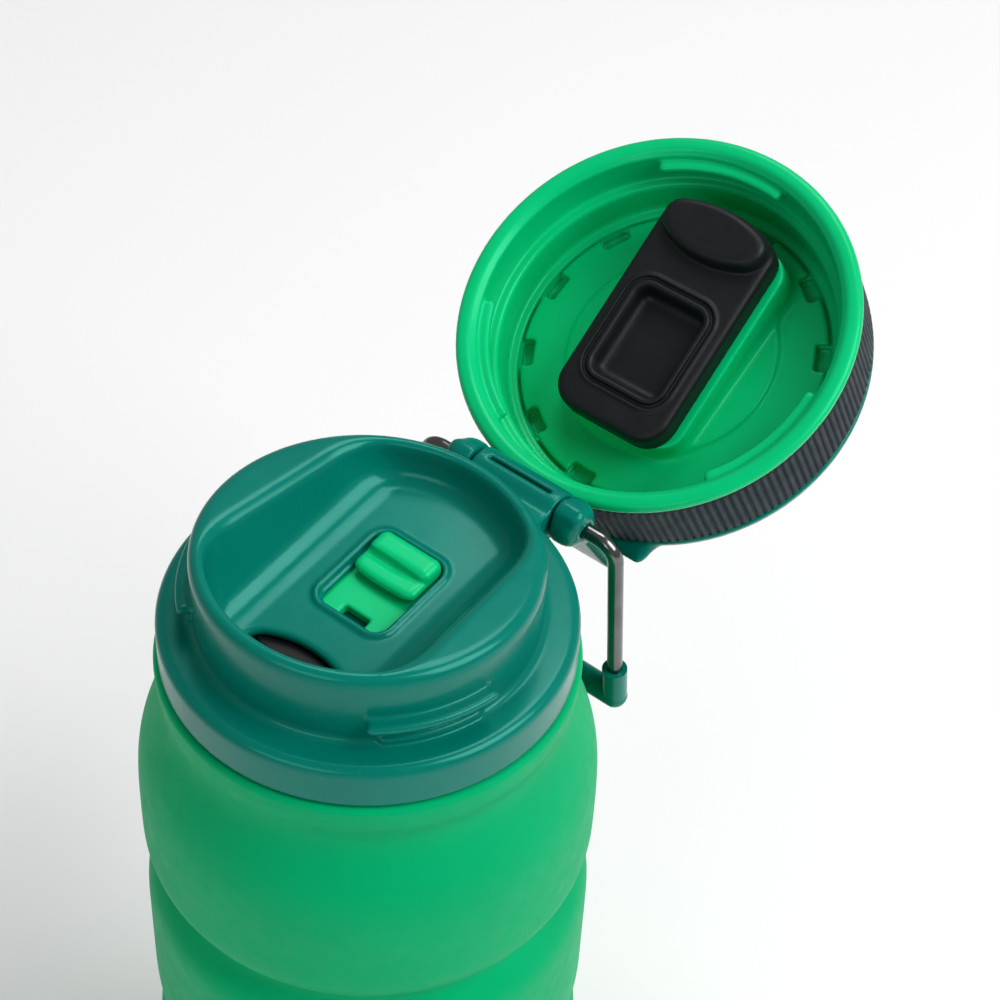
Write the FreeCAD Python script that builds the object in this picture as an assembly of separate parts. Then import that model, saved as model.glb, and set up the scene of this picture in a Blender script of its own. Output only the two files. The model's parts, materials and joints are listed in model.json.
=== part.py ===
import FreeCAD, Part
import math
import os

Vec = FreeCAD.Vector
X_AXIS = Vec(1, 0, 0)
Z_AXIS = Vec(0, 0, 1)

# Driving dimensions, in millimetres and degrees.
# The bottle stands on z = 0. The lid and cap are drawn from the lid's seat, which is lid_seat above the base.
lid_seat = 170.0

# Silicone body: a pleated sleeve with three bulges
bulge_r = 40.2
valley_r = 36.0
valley_half = 4.4
fold_pitch = 42.0
crease_r = 34.6
crease_drop = 9.0
crease_half = 10.0
band_r = 35.9
band_half = 3.2
skin = 2.2
foot_round = 8.0
base_height = 14.0
base_floor = 3.0
sleeve_height = 12.0
sleeve_gap = 0.4

# Threaded neck ring moulded into the sleeve
neck_bore_r = 28.4
neck_r = 31.0
neck_rise = 5.2
neck_depth = 13.0
neck_bead_r = 32.4
neck_bead_low = 7.0
neck_bead_high = 3.0
thread_pitch = 3.2
thread_turns = 1.1
thread_width = 1.2
thread_height = 1.1
thread_low = 1.0
lid_thread_r = 31.5
lid_thread_start = 0.4

# Lid: flange, raised ring with a tilted rim, strip recess with a sloping floor
flange_r = 35.1
flange_height = 8.46
flange_round = 1.6
skirt_r = 32.9
skirt_depth = 6.7
ring_base_r = 28.73
ring_top_r = 29.1
rim_z = 22.2
rim_tilt = 2.7
rim_round = 2.3
recess_r = 26.3
recess_half = 15.0
recess_slope = 0.5
floor_z = 11.2
floor_tilt = 6.0
floor_thickness = 1.8
floor_round = 3.0
cavity_r = 26.9
shell_wall = 2.0
gasket_thickness = 1.5
gasket_in_r = 28.8
gasket_out_r = 32.3

# Lid lugs, three at a third of a turn
lug_count = 3
lid_lug_r = 31.4
lid_lug_mid = -28.5
lid_lug_half = 21.0
lid_lug_z = 12.7
lid_lug_thick = 1.6
lid_bead_r = 29.8
lid_bead_z = 9.0

# Slot, slider and drink hole
slot_half = 7.2
slot_front = -5.6
slot_back = 12.3
slot_round = 2.6
bead_width = 1.1
bead_height = 0.5
moon_back = -13.8
moon_back_r = 19.5
moon_front_r = 24.2
moon_half = 10.8
moon_round = 1.5
tab_half = 6.5
tab_front = 2.6
tab_back = 12.0
tab_rise = 2.0
tab_step = 1.3
tab_step_y = 6.6
stem_half = 4.0
plate_gap = 0.1
plate_half = 11.3
plate_front = -16.9
plate_tail = 14.0
plate_thick = 2.0
seal_thick = 1.0
seal_length = 8.4
vent_half = 2.7
vent_front = -5.4
vent_back = -3.0
slide_travel = 7.9
cover_half = 14.2
cover_front_r = 25.6
cover_tail = 21.0
cover_thick = 1.5
cover_wall = 2.6
rail_gap = 0.3

# Hinge line, wire bail and grip bar
hinge_y = 40.15
hinge_z = 5.15
wire_r = 1.4
pin_gap = 0.05
knuckle_r = 4.3
knuckle_half = 9.2
ear_in = 9.6
ear_out = 14.5
slit_half = 6.8
slit_width = 0.8
block_top = 8.1
block_bottom = 1.4
bail_half = 21.0
bail_bend = 3.8
bail_length = 42.0
bail_lean = 6.0
grip_r = 2.4
socket_depth = 8.0
socket_r = 2.3

# Cap, drawn closed and then swung open about the hinge line
open_angle = 151.8
cap_rim_z = 8.8
cap_lip_r = 36.8
cap_mouth_r = 33.6
cap_lip_height = 2.2
cap_lip_round = 1.0
cap_bore_r = 33.0
cap_ledge_r = 31.0
cap_ledge_z = 17.0
liner_r = 34.9
liner_floor_z = 25.9
liner_floor_thick = 1.5
liner_eye_r = 19.0
liner_step_r = 29.2
liner_step_z = 24.6
cap_lug_r = 30.85
cap_lug_mid = -102.0
cap_lug_half = 22.0
cap_lug_z = 10.6
cap_lug_thick = 1.7
band_out_r = 36.5
band_low = 11.3
band_high = 25.7
rib_count = 154
rib_depth = 0.5
cover_r = 36.4
cap_top_z = 30.0
cap_side_z = 26.0
cap_edge_round = 2.2
core_r = 28.6
core_face_z = 24.3
core_gap = 0.2
dome_r = 19.7
dome_step = 0.7
notch_count = 9
notch_step = 30.0
notch_first = 92.5
notch_half = 2.7
notch_depth = 2.3
pier_half = 13.4
pad_block_half = 11.9
block_front = -24.0
block_back = 20.3
block_nose_r = 25.2
block_round_back = 6.0
face_lift = 1.3
block_thick = 5.0
pocket_half = 7.1
pocket_front = -5.5
pocket_back = 12.4
pocket_depth = 3.2
ridge_height = 0.5
plug_reach = 1.5
plug_gap = 0.4
arm_half = 14.5
arm_root_half = 17.6
arm_in_y = 38.45
arm_thick = 2.6
arm_bow = 5.5


def box(x0, x1, y0, y1, z0, z1):
    return Part.makeBox(x1 - x0, y1 - y0, z1 - z0, Vec(x0, y0, z0))


def cylinder(r, z0, z1, x=0.0, y=0.0):
    return Part.makeCylinder(r, z1 - z0, Vec(x, y, z0))


def tube(r_in, r_out, z0, z1):
    return cylinder(r_out, z0, z1).cut(cylinder(r_in, z0 - 1, z1 + 1))


def bar(r, x0, x1, y, z):
    return Part.makeCylinder(r, x1 - x0, Vec(x0, y, z), X_AXIS)


def lathe(points):
    outline = [Vec(r, 0, z) for r, z in points]
    return Part.Face(Part.makePolygon(outline + outline[:1])).revolve(Vec(), Z_AXIS, 360)


def sector(r_in, r_out, z0, z1, mid, half):
    shape = Part.makeCylinder(r_out, z1 - z0, Vec(0, 0, z0), Z_AXIS, 2 * half)
    shape = shape.cut(cylinder(r_in, z0 - 1, z1 + 1))
    return shape.rotate(Vec(), Z_AXIS, mid - half)


def rounded_block(half, y0, y1, z0, z1, radius):
    shape = box(-half, half, y0, y1, z0, z1)
    upright = [e for e in shape.Edges if abs(e.tangentAt(e.FirstParameter).z) > 0.9]
    return shape.makeFillet(radius, upright)


def with_floor(shape):
    """Tilt a shape drawn level on the recess floor, so that it follows the floor's slope."""
    return shape.rotate(Vec(0, 0, floor_z), X_AXIS, floor_tilt)


def turned_copies(shape, count):
    return [shape.copy().rotate(Vec(), Z_AXIS, 360.0 * i / count) for i in range(count)]


# Silicone body

def skin_radius(z):
    """Outside radius of the silicone at a height above the base."""
    above = z - (lid_seat - crease_drop)
    if above >= 0:
        return band_r - (band_r - crease_r) * math.exp(-(above / band_half) ** 2)
    r = bulge_r - (bulge_r - crease_r) * math.exp(-(above / crease_half) ** 2)
    valley = lid_seat - crease_drop - fold_pitch
    while valley > base_height + valley_half:
        r -= (bulge_r - valley_r) * math.exp(-((z - valley) / valley_half) ** 2)
        valley -= fold_pitch
    if z < foot_round:
        r -= foot_round * (1 - math.sqrt(1 - (1 - z / foot_round) ** 2))
    return r


def skin_curve(z0, z1, inset, steps):
    points = [Vec(skin_radius(z0 + (z1 - z0) * i / steps) - inset, 0, z0 + (z1 - z0) * i / steps)
              for i in range(steps + 1)]
    curve = Part.BSplineCurve()
    curve.interpolate(points)
    return curve.toShape(), points[0], points[-1]


def skin_solid(z0, z1, steps, z_in=None):
    """A length of the body wall. With z_in the inside starts there, which leaves a closed floor below."""
    outer, low, high = skin_curve(z0, z1, 0.0, steps)
    inner, low_in, high_in = skin_curve(z0 if z_in is None else z_in, z1, skin, steps)
    edges = [outer, Part.makeLine(high, high_in), inner]
    if z_in is None:
        edges.append(Part.makeLine(low_in, low))
    else:
        centre_in = Vec(0, 0, z_in)
        centre = Vec(0, 0, z0)
        edges += [Part.makeLine(low_in, centre_in), Part.makeLine(centre_in, centre), Part.makeLine(centre, low)]
    face = Part.Face(Part.Wire(Part.__sortEdges__(edges)))
    return face.revolve(Vec(), Z_AXIS, 360)


def base_cup():
    return skin_solid(0.0, base_height, 14, base_floor)


def bellows():
    return skin_solid(base_height, lid_seat - sleeve_height, 72)


def neck_sleeve():
    low = lid_seat - sleeve_height
    high = lid_seat - sleeve_gap
    outer, start, end = skin_curve(low, high, 0.0, 12)
    core_low = Vec(neck_r - skin, 0, low)
    core_high = Vec(neck_r - skin, 0, high)
    edges = [outer, Part.makeLine(end, core_high), Part.makeLine(core_high, core_low), Part.makeLine(core_low, start)]
    wall = Part.Face(Part.Wire(Part.__sortEdges__(edges))).revolve(Vec(), Z_AXIS, 360)
    return wall.cut(neck_ring_blank().translate(Vec(0, 0, lid_seat)))


# Neck ring and its thread

def neck_ring_blank():
    ring = cylinder(neck_r, -neck_depth, neck_rise)
    bead = lathe([(0, -neck_bead_low), (neck_r, -neck_bead_low), (neck_bead_r, -neck_bead_low + 1),
                  (neck_bead_r, -neck_bead_high - 1), (neck_r, -neck_bead_high), (0, -neck_bead_high)])
    return ring.fuse(bead).cut(cylinder(neck_bore_r, -neck_depth - 1, neck_rise + 1))


def thread_rib(r_root, r_tip, z_start, turns):
    """One rib of the screw thread, tapered in section, swept along its helix."""
    inward = 1 if r_tip > r_root else -1
    root = r_root - 0.3 * inward
    half = thread_width / 2
    section = Part.makePolygon([Vec(root, 0, z_start - half), Vec(r_tip, 0, z_start - half * 0.5),
                                Vec(r_tip, 0, z_start + half * 0.5), Vec(root, 0, z_start + half),
                                Vec(root, 0, z_start - half)])
    helix = Part.makeHelix(thread_pitch, thread_pitch * turns, r_root)
    helix.translate(Vec(0, 0, z_start))
    return Part.Wire(helix).makePipeShell([section], True, True)


def neck_ring():
    rib = thread_rib(neck_r, neck_r + thread_height, thread_low, thread_turns)
    return neck_ring_blank().fuse(rib)


def body_gasket():
    return tube(gasket_in_r, gasket_out_r, neck_rise, neck_rise + gasket_thickness)


# Lid

def above_rim(drop=0.0):
    slab = box(-60, 60, -60, 60, rim_z - drop, rim_z + 40)
    return slab.rotate(Vec(0, 0, rim_z - drop), X_AXIS, -rim_tilt)


def edges_near(shape, test):
    return [e for e in shape.Edges if all(test(v) for v in e.discretize(5))]


def rim_height(y):
    return rim_z - y * math.tan(math.radians(rim_tilt))


def on_rim(point):
    return abs(point.z - rim_height(point.y)) < 0.01


def lid_blank():
    """Flange and raised ring as one solid, with the ring's outside rim rounded."""
    flange = cylinder(flange_r, 0, flange_height)
    flange = flange.makeFillet(flange_round, edges_near(flange, lambda p: p.z > flange_height - 0.01))
    ring = Part.makeCone(ring_base_r, ring_top_r, rim_z - flange_height + 6, Vec(0, 0, flange_height))
    ring = ring.fuse(cylinder(ring_base_r, 1, flange_height)).cut(above_rim()).removeSplitter()
    ring = ring.makeFillet(rim_round, edges_near(ring, on_rim))
    return flange.fuse(ring)


def recess_tool(grow=0.0, radius=recess_r):
    """The strip-shaped hollow: sloping floor, side walls that lean out, and round ends."""
    half = recess_half + grow
    tall = 30.0
    low = floor_z - grow
    face = Part.Face(Part.makePolygon([Vec(-half, -50, low), Vec(half, -50, low),
                                       Vec(half + recess_slope * tall, -50, low + tall),
                                       Vec(-half - recess_slope * tall, -50, low + tall), Vec(-half, -50, low)]))
    shape = with_floor(face.extrude(Vec(0, 100, 0)))
    return shape.common(cylinder(radius, -5, 60))


def soft_recess():
    shape = recess_tool()
    tilt = math.tan(math.radians(floor_tilt))
    low = edges_near(shape, lambda p: abs(p.z - floor_z - p.y * tilt) < 0.01)
    return shape.makeFillet(floor_round, low)


def lid_cavity():
    """The hollow under the lid: inside the skirt, and up under the floor and the crescents."""
    skirt = cylinder(skirt_r, -1, skirt_depth)
    upper = cylinder(cavity_r, -1, rim_z + 20).cut(above_rim(shell_wall + 0.2))
    upper = upper.cut(recess_tool(floor_thickness, cavity_r + 5))
    return skirt.fuse(upper)


def lid_lugs():
    lug = sector(ring_base_r - 0.5, lid_lug_r, lid_lug_z, lid_lug_z + lid_lug_thick, lid_lug_mid, lid_lug_half)
    bead = sector(ring_base_r - 0.5, lid_bead_r, lid_bead_z, lid_bead_z + 0.9, lid_lug_mid, lid_lug_half - 4)
    return turned_copies(lug, lug_count) + turned_copies(bead, lug_count)


def hinge_block():
    """The lid's half of the hinge: a shelf from the flange to the barrel that the wire runs through."""
    shelf = box(-knuckle_half, knuckle_half, flange_r - 4, hinge_y, block_bottom, block_top)
    barrel = bar(knuckle_r, -knuckle_half, knuckle_half, hinge_y, hinge_z)
    return shelf.fuse(barrel)


def hinge_cuts():
    bore = bar(wire_r + pin_gap, -60, 60, hinge_y, hinge_z)
    slit = box(-slit_half, slit_half, hinge_y - slit_width / 2, hinge_y + slit_width / 2, hinge_z, hinge_z + 10)
    return bore.fuse(slit)


def slot_cut(grow=0.0, low=-8.0, high=30.0):
    return with_floor(rounded_block(slot_half + grow, slot_front - grow, slot_back + grow,
                                    floor_z + low, floor_z + high, slot_round + grow))


def half_moon(shrink, low, high):
    """Upright block with the drink hole's outline, smaller by shrink all round."""
    front = cylinder(moon_front_r - shrink, low, high)
    back = cylinder(moon_back_r - shrink, low, high, 0, moon_back - moon_back_r)
    sides = box(shrink - moon_half, moon_half - shrink, -60, 60, low, high)
    shape = front.common(back).common(sides)
    return shape.makeFillet(moon_round, [e for e in shape.Edges if e.BoundBox.ZLength > high - low - 0.01])


def lid_shell():
    shape = lid_blank().fuse(hinge_block()).cut(soft_recess())
    shape = shape.cut(lid_cavity())
    bead = slot_cut(bead_width, -0.5, bead_height)
    shape = shape.fuse([bead] + lid_lugs())
    shape = shape.cut([slot_cut(), with_floor(half_moon(0.0, floor_z - 8, floor_z + 8)), hinge_cuts()])
    # The lid's rib runs half a pitch below the neck's rib, so that it bears on its underside.
    rib = thread_rib(skirt_r, lid_thread_r, thread_low + thread_pitch * (lid_thread_start - 0.5), thread_turns)
    return shape.fuse(rib.rotate(Vec(), Z_AXIS, 360 * lid_thread_start))


# Slider under the lid

def under_floor(drop):
    return floor_z - floor_thickness - plate_gap - drop


def slider_plate():
    top = under_floor(0.0)
    low = top - plate_thick
    shape = box(-plate_half, plate_half, plate_front - 4, plate_tail, low, top)
    nose = cylinder(cavity_r - rail_gap - 0.3, -40, 60, 0, slide_travel)
    shape = shape.common(nose).common(box(-30, 30, plate_front, 40, -40, 60))
    pocket = box(-30, 30, plate_front - 5, plate_front + seal_length, top - seal_thick, top + 1)
    vent = box(-vent_half, vent_half, vent_front, vent_back, low - 1, top + 1)
    return with_floor(shape.cut([pocket, vent]))


def valve_seal():
    top = under_floor(0.0)
    shape = box(-plate_half, plate_half, plate_front, plate_front + seal_length, top - seal_thick, top)
    return with_floor(shape.common(cylinder(cavity_r - rail_gap - 0.3, -40, 60, 0, slide_travel)))


def slider_tab():
    """Thumb piece: a low front half, a raised rear half, and a stem down to the plate."""
    low = floor_z - 0.6
    front = rounded_block(tab_half, tab_front, tab_back, low, floor_z + tab_rise - tab_step, 2.2)
    rear = rounded_block(tab_half, tab_front, tab_back, low, floor_z + tab_rise, 2.2)
    rear = rear.common(box(-30, 30, tab_step_y, 60, -40, 60))
    stem = box(-stem_half, stem_half, tab_front + 1.5, tab_back - 1.5, under_floor(0.0), low)
    return with_floor(front.fuse([rear, stem]).removeSplitter())


def valve_cover():
    """Tray under the slider: it holds the plate up against the lid and lets the drink past its open front."""
    top = under_floor(plate_thick) - plate_gap - 0.1
    tray = box(-cover_half, cover_half, -40, cover_tail, top - cover_thick, top)
    walls = [box(s * cover_half - (cover_wall if s > 0 else 0), s * cover_half + (cover_wall if s < 0 else 0),
                 -16, cover_tail, top, floor_z - floor_thickness) for s in (-1, 1)]
    mouth = rounded_block(moon_half - 1.5, -60, plate_front + 1, top - 5, top + 5, 2.0)
    shape = tray.fuse(walls).cut(mouth)
    drain = rounded_block(3.0, 2.0, 9.0, top - 5, top + 5, 1.5)
    return with_floor(shape.cut(drain)).common(cylinder(cover_front_r, -30, 60))


# Cap, drawn closed

def swing_open(shape):
    return shape.rotate(Vec(0, hinge_y, hinge_z), X_AXIS, -open_angle)


def cap_liner():
    """The cup that turns inside the cap: rounded lip, bayonet lugs, wall ledge and a floor with a round eye."""
    top = liner_floor_z + liner_floor_thick
    lip_top = cap_rim_z + cap_lip_height
    cup = lathe([(cap_mouth_r, cap_rim_z), (cap_lip_r, cap_rim_z), (cap_lip_r, lip_top), (liner_r, band_low),
                 (liner_r, top), (liner_eye_r, top), (liner_eye_r, liner_floor_z),
                 (liner_step_r, liner_floor_z), (liner_step_r, liner_step_z), (cap_ledge_r, liner_step_z),
                 (cap_ledge_r, cap_ledge_z + 1), (cap_ledge_r + 0.8, cap_ledge_z), (cap_bore_r, cap_ledge_z),
                 (cap_bore_r, cap_rim_z + 2.5), (cap_mouth_r, cap_rim_z + 2.2)])
    cup = cup.makeFillet(cap_lip_round, edges_near(cup, lambda p: p.z < cap_rim_z + 0.01))
    lug = sector(cap_lug_r, cap_bore_r + 0.6, cap_lug_z, cap_lug_z + cap_lug_thick, cap_lug_mid, cap_lug_half)
    return cup.fuse(turned_copies(lug, lug_count))


def grip_band():
    """Rubber band with straight ribs, stretched over the liner."""
    shape = tube(liner_r, band_out_r, band_low, band_high)
    width = math.pi * band_out_r / rib_count
    groove = box(band_out_r - rib_depth, band_out_r + 1, -width / 2, width / 2, band_low - 1, band_high + 1)
    grooves = turned_copies(groove, rib_count)
    return shape.cut(grooves)


def cap_cover():
    """Outer cover of the cap, with the arm at its back that ends in two ears on the hinge wire."""
    disc = cylinder(cover_r, cap_side_z, cap_top_z)
    disc = disc.makeFillet(cap_edge_round, edges_near(disc, lambda p: p.z > cap_top_z - 0.01))
    disc = disc.cut(cylinder(liner_r + 0.4, cap_side_z - 1, liner_floor_z + liner_floor_thick + core_gap))
    boss = cylinder(liner_eye_r - 0.4, liner_floor_z - core_gap, cap_top_z - 1)
    arm_low = hinge_z - knuckle_r
    arm_out_y = arm_in_y + arm_thick
    root_z = cap_side_z + 0.5
    top_z = cap_top_z - 0.6
    face = [Vec(-arm_half, 0, arm_low), Vec(arm_half, 0, arm_low), Vec(arm_half, 0, hinge_z + knuckle_r),
            Vec(arm_root_half, 0, root_z), Vec(arm_root_half, 0, top_z), Vec(-arm_root_half, 0, top_z),
            Vec(-arm_root_half, 0, root_z), Vec(-arm_half, 0, hinge_z + knuckle_r)]
    side = [Vec(-60, arm_in_y, arm_low), Vec(-60, arm_out_y, arm_low), Vec(-60, arm_out_y, top_z - arm_bow),
            Vec(-60, arm_out_y - arm_bow, top_z), Vec(-60, 25, top_z), Vec(-60, 25, root_z), Vec(-60, arm_in_y, root_z)]
    arm = Part.Face(Part.makePolygon(face + face[:1])).extrude(Vec(0, 60, 0))
    arm = arm.common(Part.Face(Part.makePolygon(side + side[:1])).extrude(Vec(120, 0, 0)))
    arm = arm.cut(cylinder(cover_r - 1, 0, 60).common(box(-60, 60, -60, 60, -10, cap_top_z)))
    ears = [bar(knuckle_r, min(s * ear_in, s * ear_out), max(s * ear_in, s * ear_out), hinge_y, hinge_z)
            for s in (-1, 1)]
    shape = disc.fuse([boss, arm] + ears)
    room = bar(knuckle_r + 0.5, -ear_in, ear_in, hinge_y, hinge_z)
    foot = box(-ear_in, ear_in, 20, 60, arm_low - 1, hinge_z + knuckle_r + 0.5)
    return shape.cut([room, foot, bar(wire_r + pin_gap, -60, 60, hinge_y, hinge_z)])


def cap_core():
    """Notched disc that holds the liner's floor against the cover and carries the gasket."""
    disc = cylinder(core_r, core_face_z, liner_floor_z - core_gap)
    notch = rounded_block(notch_half, core_r - notch_depth, core_r + 3, core_face_z - 2, liner_floor_z, 1.0)
    disc = disc.cut([notch.copy().rotate(Vec(), Z_AXIS, notch_first - 90 + notch_step * i)
                     for i in range(notch_count)])
    dome = cylinder(dome_r, core_face_z - dome_step, core_face_z)
    low = floor_z + face_lift + block_thick
    pier = with_floor(rounded_block(pier_half, block_front + 1.2, block_back - 1.2, low, low + 30, 5.0))
    pier = pier.common(cylinder(core_r - 3, 0, core_face_z + 0.4))
    return disc.fuse([dome, pier])


def cap_gasket():
    """Soft block that closes the lid: an oval pad for the drink hole and a pocket that clears the slider."""
    low = floor_z + face_lift
    shape = rounded_block(pad_block_half, block_front, block_back, low, low + block_thick, block_round_back)
    nose = cylinder(block_nose_r, -60, 60)
    shape = with_floor(shape).common(nose)
    pad = with_floor(half_moon(plug_gap, floor_z - plug_reach, low + 1))
    pocket = rounded_block(pocket_half, pocket_front, pocket_back, low - 4, low + pocket_depth, 2.4)
    ridge = rounded_block(pocket_half + 2.9, pocket_front - 2.9, pocket_back + 2.9, low - ridge_height, low + 1, 4.6)
    ridge = ridge.cut(rounded_block(pocket_half + 1.9, pocket_front - 1.9, pocket_back + 1.9, low - 4, low + 4, 4.0))
    shape = shape.fuse([pad, with_floor(ridge)])
    return shape.cut(with_floor(pocket))


# Bail

def bail_wire():
    """Steel wire: hinge pin in the middle, a bend at each end, and two legs down to the grip bar."""
    leg_x = bail_half
    down = Vec(0, math.sin(math.radians(bail_lean)), -math.cos(math.radians(bail_lean)))
    centre = Vec(0, hinge_y, hinge_z)
    bend = bail_bend
    parts = [bar(wire_r, -leg_x + bend, leg_x - bend, hinge_y, hinge_z)]
    for s in (-1, 1):
        start = centre + Vec(s * (leg_x - bend), 0, 0)
        corner = centre + Vec(s * leg_x, 0, 0)
        end = corner + down * bend
        mid = corner - Vec(s * bend, 0, 0) * (1 - math.sqrt(0.5)) + down * bend * (1 - math.sqrt(0.5))
        arc = Part.Wire(Part.Arc(start, mid, end).toShape())
        circle = Part.Wire(Part.makeCircle(wire_r, start, X_AXIS))
        parts.append(arc.makePipeShell([circle], True, True))
        parts.append(Part.makeCylinder(wire_r, bail_length - bend, end, down))
    shape = parts[0]
    for piece in parts[1:]:
        shape = shape.fuse(piece)
    return shape


def bail_grip():
    """Bar between the wire's legs, with a socket at each end that the wire is pressed into."""
    down = Vec(0, math.sin(math.radians(bail_lean)), -math.cos(math.radians(bail_lean)))
    centre = Vec(0, hinge_y, hinge_z) + down * bail_length
    shape = bar(grip_r, -bail_half, bail_half, centre.y, centre.z)
    for s in (-1, 1):
        foot = centre + Vec(s * bail_half, 0, 0)
        shape = shape.fuse(Part.makeSphere(grip_r, foot))
        shape = shape.fuse(Part.makeCylinder(socket_r, socket_depth, foot - down * socket_depth, down))
    return shape.cut(bail_wire())


def lid_level(shape):
    return shape.translate(Vec(0, 0, lid_seat))


def cap_level(shape):
    return lid_level(swing_open(shape))


NODES = {
    "base_cup": base_cup,
    "bellows": bellows,
    "neck_sleeve": neck_sleeve,
    "neck_ring": lambda: lid_level(neck_ring()),
    "body_gasket": lambda: lid_level(body_gasket()),
    "lid_shell": lambda: lid_level(lid_shell()),
    "slider_tab": lambda: lid_level(slider_tab()),
    "slider_plate": lambda: lid_level(slider_plate()),
    "valve_seal": lambda: lid_level(valve_seal()),
    "valve_cover": lambda: lid_level(valve_cover()),
    "cap_cover": lambda: cap_level(cap_cover()),
    "cap_core": lambda: cap_level(cap_core()),
    "cap_gasket": lambda: cap_level(cap_gasket()),
    "cap_liner": lambda: cap_level(cap_liner()),
    "grip_band": lambda: cap_level(grip_band()),
    "bail_wire": lambda: lid_level(bail_wire()),
    "bail_grip": lambda: lid_level(bail_grip()),
}

os.makedirs("parts", exist_ok=True)
for name, make in NODES.items():
    solid = make()
    solid.exportStep("parts/" + name + ".step")
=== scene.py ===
import json
import math

import bmesh
import bpy
import numpy as np
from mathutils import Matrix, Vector


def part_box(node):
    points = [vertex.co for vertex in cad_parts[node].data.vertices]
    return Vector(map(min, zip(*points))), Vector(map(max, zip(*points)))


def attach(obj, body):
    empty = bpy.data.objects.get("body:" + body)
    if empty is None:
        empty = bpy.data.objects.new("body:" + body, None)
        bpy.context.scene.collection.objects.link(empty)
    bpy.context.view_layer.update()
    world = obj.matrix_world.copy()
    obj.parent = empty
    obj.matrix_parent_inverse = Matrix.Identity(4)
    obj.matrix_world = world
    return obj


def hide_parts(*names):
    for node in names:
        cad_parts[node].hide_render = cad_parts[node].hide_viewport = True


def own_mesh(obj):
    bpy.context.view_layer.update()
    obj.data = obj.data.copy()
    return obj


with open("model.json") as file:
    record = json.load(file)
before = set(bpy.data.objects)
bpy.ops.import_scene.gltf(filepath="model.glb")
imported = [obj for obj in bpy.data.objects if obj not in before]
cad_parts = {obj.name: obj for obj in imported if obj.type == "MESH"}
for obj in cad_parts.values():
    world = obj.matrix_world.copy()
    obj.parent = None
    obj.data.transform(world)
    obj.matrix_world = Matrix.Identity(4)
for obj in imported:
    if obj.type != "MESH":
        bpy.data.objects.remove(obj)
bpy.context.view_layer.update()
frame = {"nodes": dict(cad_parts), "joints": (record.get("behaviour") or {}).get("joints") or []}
joints = {j["name"]: j for j in frame["joints"]}

# Shapes are drawn in millimetres in the lid's own frame, whose zero is the lid's seat on the bottle,
# and become metres when their meshes are made. The cap is drawn shut and swung open about the hinge line.
MM = 0.001
SEAT = joints["lid_turn"]["pos_m"][2] / MM
HINGE_Y = joints["cap_flip"]["pos_m"][1] / MM
HINGE_Z = joints["cap_flip"]["pos_m"][2] / MM - SEAT
OPEN_ANGLE = math.radians(joints["cap_flip"]["range_deg"][1])
SLIDE = joints["slider_slide"]["range_m"][1] / MM

# Silicone body. Its heights are measured from the base.
BULGE_R, VALLEY_R, VALLEY_HALF, FOLD_PITCH = 40.2, 36.0, 4.4, 42.0
CREASE_R, CREASE_DROP, CREASE_HALF = 34.6, 9.0, 10.0
BAND_R, BAND_HALF = 35.9, 3.2
FOOT_ROUND, SKIN = 8.0, 2.2

# Base, band's rounded top edge and the neck ring's wall inside it
BASE_FLOOR, BAND_LIP, NECK_R = 3.0, 1.1, 31.0

# Lid
FLANGE_R, FLANGE_HEIGHT = 35.1, 8.46
RING_BASE_R, RING_TOP_R = 28.73, 29.1
RIM_Z, RIM_TILT = 22.2, math.radians(2.7)
RECESS_R, RECESS_HALF, RECESS_SLOPE = 26.3, 15.0, 0.5
FLOOR_Z, FLOOR_TILT, FLOOR_THICK = 11.2, math.radians(6.0), 1.8
SKIRT_R, SKIRT_DEPTH, CAVITY_R = 32.9, 6.7, 26.9
LUGS, LUG_MID, LUG_HALF = 3, math.radians(-28.5), math.radians(21.0)
LUG_ROOT_R, LUG_R, LUG_Z, LUG_THICK = 26.0, 31.4, 12.7, 1.6
LUG_BEAD_R, LUG_BEAD_Z, LUG_BEAD_THICK, LUG_BEAD_SHORTER = 29.8, 9.0, 0.9, 0.07
SLOT_HALF, SLOT_FRONT, SLOT_BACK, SLOT_ROUND, SLOT_BEAD = 7.2, -5.6, 12.3, 2.6, 1.1
MOON_BACK, MOON_BACK_R, MOON_FRONT_R, MOON_HALF = -13.8, 19.5, 24.2, 10.8
KNUCKLE_R, KNUCKLE_HALF, WIRE_R, PIN_GAP = 4.3, 9.2, 1.4, 0.05
BLOCK_LOW, BLOCK_TOP, BLOCK_ROOT_Y, SLIT_HALF, SLIT_WIDTH = 1.4, 8.1, 28.0, 6.8, 0.8

# Slider: thumb piece with a low front and a high rear, and the plate under the lid's floor
TAB_HALF, TAB_FRONT, TAB_BACK, TAB_STEP_Y = 6.5, 2.6, 12.0, 6.9
TAB_LOW_TOP, TAB_TOP, TAB_UNDER, TAB_BOW, STEM_HALF = 0.7, 2.0, -0.6, 0.55, 4.0
PLATE_HALF, PLATE_FRONT, PLATE_TAIL, PLATE_TOP, PLATE_LOW = 11.3, -16.9, 14.0, -1.9, -3.9
PLATE_NOSE_R, SEAT_BACK, SEAT_DEPTH = 26.2, -8.5, 1.0
VENT_HALF, VENT_FRONT, VENT_BACK = 2.7, -5.4, -2.6

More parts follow.
